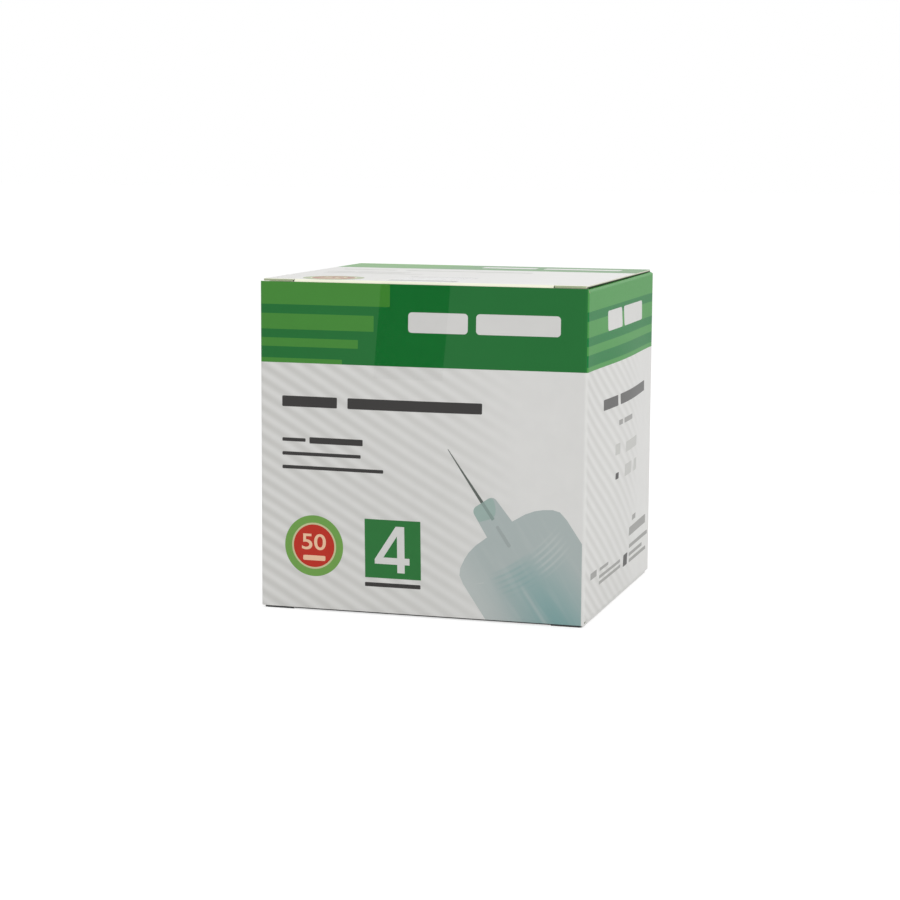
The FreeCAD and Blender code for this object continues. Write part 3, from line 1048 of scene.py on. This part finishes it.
def print_face(s, panel, inks):
    """Print a panel as the front is: name, title and text places as bars, two badges and the
    needle picture. The lid has only the round badge."""
    lid = panel == "top"
    # On the lid the text bars take the pale grey ink: painted sheen
    grey = "pale_grey" if lid else "grey"
    lines = FRONT_LINES if lid else (*FRONT_LINES, SQUARE_LINE)
    print_bars(s, panel, "name_bars", "print_white", inks, (FRONT_NAME, 0.8, "number"))
    print_bars(s, panel, "text_bars", "print_grey", inks, (FRONT_TITLE, 0.25, grey), (lines, 0.2, grey))

    across, down = LID_BADGE_AT if lid else BADGE_AT
    bm = bmesh.new()
    disc(bm, (across, down), 6.65)
    disc(bm, (across, down), 5.05, LAYER, 1)
    disc(bm, (across, down), 4.65, 2 * LAYER, 2)
    number(bm, "50", (across - 2.78, down - 2.62, across + 2.73, down + 0.88), 0.012, 3 * LAYER, 3)
    bars(bm, ((across - 2.5, down + 2.1, across + 2.6, down + 3.2),), 0.3, 3 * LAYER, 3)
    # On the lid the badge takes paler inks, with cream for its number: painted sheen
    tones = ("lid_ring", "cream", "lid_red", "cream") if lid else ("ring", "cream", "red", "figure")
    add_print(s, bm, panel, "round_badge", inks, tones)

    if lid:
        return
    bm = bmesh.new()
    bars(bm, (SQUARE,), 0)
    for shape in FOUR:
        outline(bm, [(FOUR_AT[0] + across, FOUR_AT[1] + down) for across, down in shape], (), LAYER, 1)
    add_print(s, bm, panel, "square_badge", inks, ("square", "number"))

    bm = bmesh.new()
    needle_shapes(bm, (s.height - s.board) / MM - 0.05)
    tones = ("hub", "collar", "cannula", "inner_cannula", "faint_cannula", "streak")
    add_print(s, bm, panel, "needle_picture", inks, tones)


def print_side(s, panel, inks):
    """Print a side panel: name and title bars, and rows of small bars for its text."""
    print_bars(s, panel, "name_bars", "print_white", inks, (SIDE_NAME, 0.8, "number"))
    print_bars(
        s, panel, "text_bars", "print_grey", inks, (SIDE_DOTS, 0.3, "grey"), (SIDE_TITLE, 0.25, "soft_grey"),
        (SIDE_LINES, 0.15, "mid_grey"), (SIDE_FAINT, 0.3, "pale_grey"),
    )


def seal_mesh(s, seal):
    """The film as one strip: up the front panel, over the lid's crease and back along the lid."""
    bm = bmesh.new()
    face = seal.film + seal.adhesive
    front_y, edge_z = -s.depth / 2, s.height - s.front_drop
    r = s.lid_crease
    centre = Vector((0, front_y + s.board + s.tuck_slot + r, s.height - r))
    edge = Vector((0, front_y, edge_z))
    reach = (centre - edge).length
    climb = math.atan2(centre.z - edge.z, centre.y - edge.y) + math.asin(r / reach)
    touch = centre + Vector((0, -math.sin(climb), math.cos(climb))) * (r + face)
    lid_y = front_y + seal.top_leg

    left = seal.centre_x - seal.width / 2
    foot_z = edge_z - seal.front_leg
    verts = [bm.verts.new((x, front_y - face, foot_z)) for x in even_steps(left, left + seal.width, 8)]
    free = [bm.edges.new(pair) for pair in zip(verts, verts[1:])]
    for _ in range(20):
        free = grow(bm, free, (0, 0, seal.front_leg / 20))
    free = grow(bm, free, (0, touch.y - front_y + face, touch.z - edge_z))
    free = fold(bm, free, centre, (1, 0, 0), -climb)
    for _ in range(16):
        free = grow(bm, free, (0, (lid_y - centre.y) / 16, 0))

    strip = bm.loops.layers.uv.new("strip")
    for part in bm.faces:
        for loop in part.loops:
            at = loop.vert.co
            loop[strip].uv = (at.x - left, at.z - edge_z + seal.front_leg + at.y - front_y)
    for vert in bm.verts:
        if vert.co.z < edge_z:
            vert.co.x -= (edge_z - vert.co.z) * math.tan(seal.tilt)
            vert.co.y -= panel_bulge(s, "front", vert.co)
        elif vert.co.y > centre.y:
            vert.co.x += (vert.co.y - centre.y) * math.tan(seal.tilt)
    return bm


# Operators


class CARTON_OT_board(Operator):
    """Fold the printed board into the sleeve and both lids"""

    bl_idname = "carton.board"
    bl_label = "Fold the board"

    def execute(self, context):
        s = context.scene.carton_sizes
        materials = board_materials(context.scene.carton_colours)
        sleeve, lids = sleeve_mesh(s), lids_mesh(s)
        print_sleeve(s, sleeve)
        fill_sleeve(s, sleeve)
        print_lids(s, lids)
        for name, bm, axis in (("sleeve", sleeve, 0), ("lids", lids, 2)):
            face_outwards(bm, axis)
            piece = add_piece(name, bm, materials, "carton")
            give_thickness(piece, s.board, len(materials) // 2)
        return {"FINISHED"}


class CARTON_OT_print(Operator):
    """Print the front, the back, the sides and the lid"""

    bl_idname = "carton.print"
    bl_label = "Print the panels"

    def execute(self, context):
        s = context.scene.carton_sizes
        colours = context.scene.carton_colours
        inks = {tone: ink(name, getattr(colours, tone)) for tone, name in INKS.items()}
        inks |= {
            # Paler copies of the badge's inks for the lid: painted sheen
            "lid_ring": ink("lid_ring_ink", colours.lid_ring, shine=0.6),
            "lid_red": ink("lid_red_ink", colours.lid_red, shine=0.7),
            "hub": hub_ink(colours),
            "inner_cannula": ink("needle_cannula_in_collar", colours.collar * 0.75),
            "faint_cannula": ink("needle_cannula_in_hub", colours.pale_teal * 0.84),
        }
        for panel in ("front", "back", "top"):
            print_face(s, panel, inks)
        for panel in ("right", "left"):
            print_side(s, panel, inks)
        return {"FINISHED"}


class CARTON_OT_seal(Operator):
    """Lay the clear film over the lid's front crease"""

    bl_idname = "carton.seal"
    bl_label = "Seal the lid"

    def execute(self, context):
        s = context.scene.carton_sizes
        seal = context.scene.carton_seal
        materials = [film_outside(s, seal), film_underside()]
        bm = seal_mesh(s, seal)
        face_outwards(bm, 2)
        piece = add_piece("seal_film", bm, materials, "clear_seal")
        give_thickness(piece, seal.film, 1)
        return {"FINISHED"}


class CARTON_OT_stage(Operator):
    """Set up the floor, the studio light and the camera"""

    bl_idname = "carton.stage"
    bl_label = "Set the stage"

    def execute(self, context):
        settings = context.scene.carton_stage
        self.place_camera(context, settings)
        self.lay_floor()
        self.light(context, settings)
        return {"FINISHED"}

    def place_camera(self, context, settings):
        camera_data = bpy.data.cameras.new("camera")
        camera_data.lens = settings.lens
        camera = add_object("camera", camera_data)
        camera.location = CAMERA_AT
        camera.rotation_mode = "QUATERNION"
        roll = Matrix.Rotation(CAMERA_ROLL, 4, "Z").to_quaternion()
        camera.rotation_quaternion = Vector(CAMERA_LOOK).to_track_quat("-Z", "Y") @ roll
        context.scene.camera = camera

    def lay_floor(self):
        bm = bmesh.new()
        bmesh.ops.create_grid(bm, x_segments=1, y_segments=1, size=4.0)
        finish = shader("studio_floor", 1.0, 0.0)
        finish.feed_main({"Base Color": (0.8, 0.8, 0.8)})
        lit = finish.tree.nodes["Principled BSDF"].outputs["BSDF"]
        pale = finish.add("BsdfDiffuse", {"Color": (0.55, 0.55, 0.55)})
        seen = finish.add("AddShader", {0: pale, 1: finish.add("Emission", {"Strength": 0.62})})
        finish.show(finish.blended(finish.add("LightPath", output="Is Camera Ray"), lit, seen))
        add_mesh("floor", bm, [finish.owner])

    def light(self, context, settings):
        context.scene.world = bpy.data.worlds.new("studio")
        studio = Shading(context.scene.world)
        walls = studio.add("Background", {"Color": (1.0, 1.0, 1.0), "Strength": settings.surroundings})
        backdrop = studio.add("Background", {"Color": (1.0, 1.0, 1.0)})
        seen = 0.0
        for ray in ("Is Camera Ray", "Is Glossy Ray", "Is Transmission Ray"):
            seen = studio.computed("MAXIMUM", seen, studio.add("LightPath", output=ray))
        studio.show(studio.blended(seen, walls, backdrop), "World Output")

        target = Vector((0.0, 0.0, 0.035))
        lamps = (
            ("overhead_softbox", settings.overhead, 0.9, Vector((-0.1, -0.2, 0.9))),
            ("side_softbox", settings.side, 0.7, Vector((0.9, -0.2, 0.35))),
        )
        for name, energy, size, spot in lamps:
            lamp_data = bpy.data.lights.new(name, "AREA")
            lamp_data.energy = energy
            lamp_data.size = size
            lamp = add_object(name, lamp_data)
            lamp.location = spot
            lamp.rotation_mode = "QUATERNION"
            lamp.rotation_quaternion = (target - spot).to_track_quat("-Z", "Y")
        context.scene.view_settings.view_transform = "Standard"


STEPS = (CARTON_OT_board, CARTON_OT_print, CARTON_OT_seal, CARTON_OT_stage)


class VIEW3D_PT_carton(Panel):
    """The steps that build the carton, in order"""

    bl_idname = "VIEW3D_PT_carton"
    bl_label = "Pen needle carton"
    bl_space_type = "VIEW_3D"
    bl_region_type = "UI"
    bl_category = "Carton"

    def draw(self, context):
        column = self.layout.column(align=True)
        for step in STEPS:
            column.operator(step.bl_idname)


SETTINGS = {
    "carton_sizes": CartonSizes, "carton_seal": SealSizes, "carton_colours": PrintColours,
    "carton_stage": StageSettings,
}
CLASSES = (*SETTINGS.values(), *STEPS, VIEW3D_PT_carton)


def register():
    for cls in CLASSES:
        bpy.utils.register_class(cls)
    for name, group in SETTINGS.items():
        setattr(bpy.types.Scene, name, PointerProperty(type=group))


def unregister():
    for name in SETTINGS:
        delattr(bpy.types.Scene, name)
    for cls in reversed(CLASSES):
        bpy.utils.unregister_class(cls)


def main():
    register()
    bpy.ops.carton.stage()
    bpy.ops.carton.board()
    bpy.ops.carton.print()
    bpy.ops.carton.seal()


if __name__ == "__main__":
    main()
